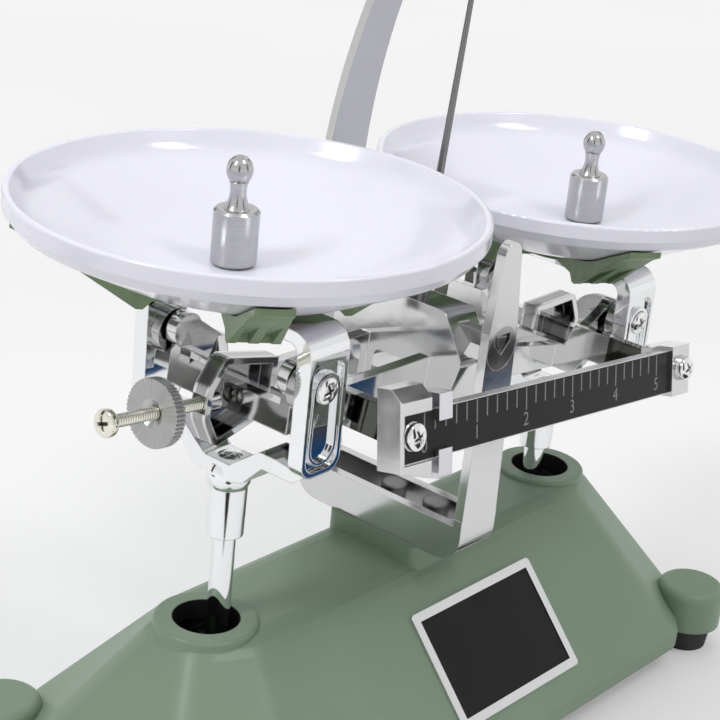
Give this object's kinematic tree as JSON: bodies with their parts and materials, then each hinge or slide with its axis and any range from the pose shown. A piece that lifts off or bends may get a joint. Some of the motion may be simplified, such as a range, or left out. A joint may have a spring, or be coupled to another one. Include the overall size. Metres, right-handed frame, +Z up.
{
  "type": "laboratory balance",
  "caption": "Laboratory balance with round pans that stay level on a knife-edge beam, a rider bar in front, a pointer and dial above, and a sloped cast base.",
  "frame": {"origin": "centre of the footprint on the table top", "axes": "+X along the beam from the zero end of the rider bar to its far end, -Y towards the side of the rider bar, +Z up"},
  "size_m": [0.2304, 0.105, 0.235],
  "materials": {
    "painted_casting": "satin sage green enamel",
    "zinc_sheet": "zinc plated sheet",
    "zinc_screw": "zinc plated",
    "rubber": "matte black",
    "plate_silver": "bare silver rim with a dark field",
    "nickel": "bright nickel",
    "hard_steel": "ground",
    "steel_pin": "ground",
    "white_dial": "white enamel with a plain graduation",
    "steel_bar": "bare",
    "beam_metal": "satin nickel on a casting",
    "pointer_steel": "dark bare steel",
    "black_bar": "black with white graduation and a bright top edge",
    "chrome_screw": "polished",
    "rider_chrome": "bright with brushed front",
    "holder_chrome": "bright",
    "knurled_steel": "turned face and knurled rim",
    "yoke_chrome": "mirror polished",
    "rod_steel": "bright drawn",
    "green_plastic": "moulded",
    "white_pan": "glossy white",
    "weight_steel": "turned and polished"
  },
  "bodies": {
    "base": {"base_casting": "painted_casting", "base_cover": "zinc_sheet", "cover_screws": "zinc_screw", "rubber_feet": "rubber", "foot_screws": "zinc_screw", "nameplate": "plate_silver", "centre_bracket": "nickel", "bracket_screws": "zinc_screw", "centre_bearings": "hard_steel", "stop_pins": "steel_pin", "dial_post": "nickel", "post_screws": "zinc_screw", "dial_plate": "white_dial", "dial_screws": "zinc_screw", "link_hanger": "zinc_sheet", "link_pin": "steel_pin"},
    "beam": {"beam_casting": "beam_metal", "centre_knife": "hard_steel", "end_knives": "hard_steel", "pointer": "pointer_steel", "scale_bar": "black_bar", "bar_screws": "chrome_screw", "bar_holder_left": "holder_chrome", "bar_holder_right": "holder_chrome", "adjust_screw_left": "chrome_screw", "adjust_screw_right": "chrome_screw"},
    "rider": {"rider": "rider_chrome"},
    "nut_left": {"balance_nut_left": "knurled_steel"},
    "nut_right": {"balance_nut_right": "knurled_steel"},
    "link": {"lower_link": "steel_bar"},
    "carrier_left": {"yoke_left": "yoke_chrome", "yoke_bearings_left": "hard_steel", "yoke_screws_left": "chrome_screw", "carrier_rod_left": "rod_steel", "rod_pin_left": "steel_pin", "pan_support_left": "green_plastic", "support_screw_left": "zinc_screw"},
    "pan_left": {"pan_left": "white_pan"},
    "weight_left": {"weight_left": "weight_steel"},
    "carrier_right": {"yoke_right": "yoke_chrome", "yoke_bearings_right": "hard_steel", "yoke_screws_right": "chrome_screw", "carrier_rod_right": "rod_steel", "rod_pin_right": "steel_pin", "pan_support_right": "green_plastic", "support_screw_right": "zinc_screw"},
    "pan_right": {"pan_right": "white_pan"},
    "weight_right": {"weight_right": "weight_steel"}
  },
  "joints": [
    {"name": "beam_tilt", "type": "hinge", "parent": "base", "child": "beam", "pos_m": [0, 0, 0.108], "axis": [0, 1, 0], "range_deg": [-12, 0]},
    {"name": "link_tilt", "type": "hinge", "parent": "base", "child": "link", "pos_m": [0, 0, 0.024], "axis": [0, 1, 0], "range_deg": [-12, 0]},
    {"name": "rider_slide", "type": "slide", "parent": "beam", "child": "rider", "axis": [0.9945, 0, -0.1045], "range_m": [-0.0018, 0.0892]},
    {"name": "nut_left_travel", "type": "slide", "parent": "beam", "child": "nut_left", "axis": [-0.9945, 0, 0.1045], "range_m": [-0.008, 0.009]},
    {"name": "nut_right_travel", "type": "slide", "parent": "beam", "child": "nut_right", "axis": [0.9945, 0, -0.1045], "range_m": [-0.008, 0.009]},
    {"name": "carrier_left_hang", "type": "hinge", "parent": "beam", "child": "carrier_left", "pos_m": [-0.06266, 0, 0.11459], "axis": [0, 1, 0], "range_deg": [0, 12]},
    {"name": "pan_left_lift", "type": "slide", "parent": "carrier_left", "child": "pan_left", "axis": [0, 0, 1], "range_m": [0, 0.03]},
    {"name": "weight_left_lift", "type": "slide", "parent": "pan_left", "child": "weight_left", "axis": [0, 0, 1], "range_m": [0, 0.04]},
    {"name": "carrier_right_hang", "type": "hinge", "parent": "beam", "child": "carrier_right", "pos_m": [0.06266, 0, 0.10142], "axis": [0, 1, 0], "range_deg": [0, 12]},
    {"name": "pan_right_lift", "type": "slide", "parent": "carrier_right", "child": "pan_right", "axis": [0, 0, 1], "range_m": [0, 0.03]},
    {"name": "weight_right_lift", "type": "slide", "parent": "pan_right", "child": "weight_right", "axis": [0, 0, 1], "range_m": [0, 0.04]}
  ],
  "couplings": [
    {"joint": "link_tilt", "follows": "beam_tilt", "ratio": 1},
    {"joint": "carrier_left_hang", "follows": "beam_tilt", "ratio": -1},
    {"joint": "carrier_right_hang", "follows": "beam_tilt", "ratio": -1}
  ]
}
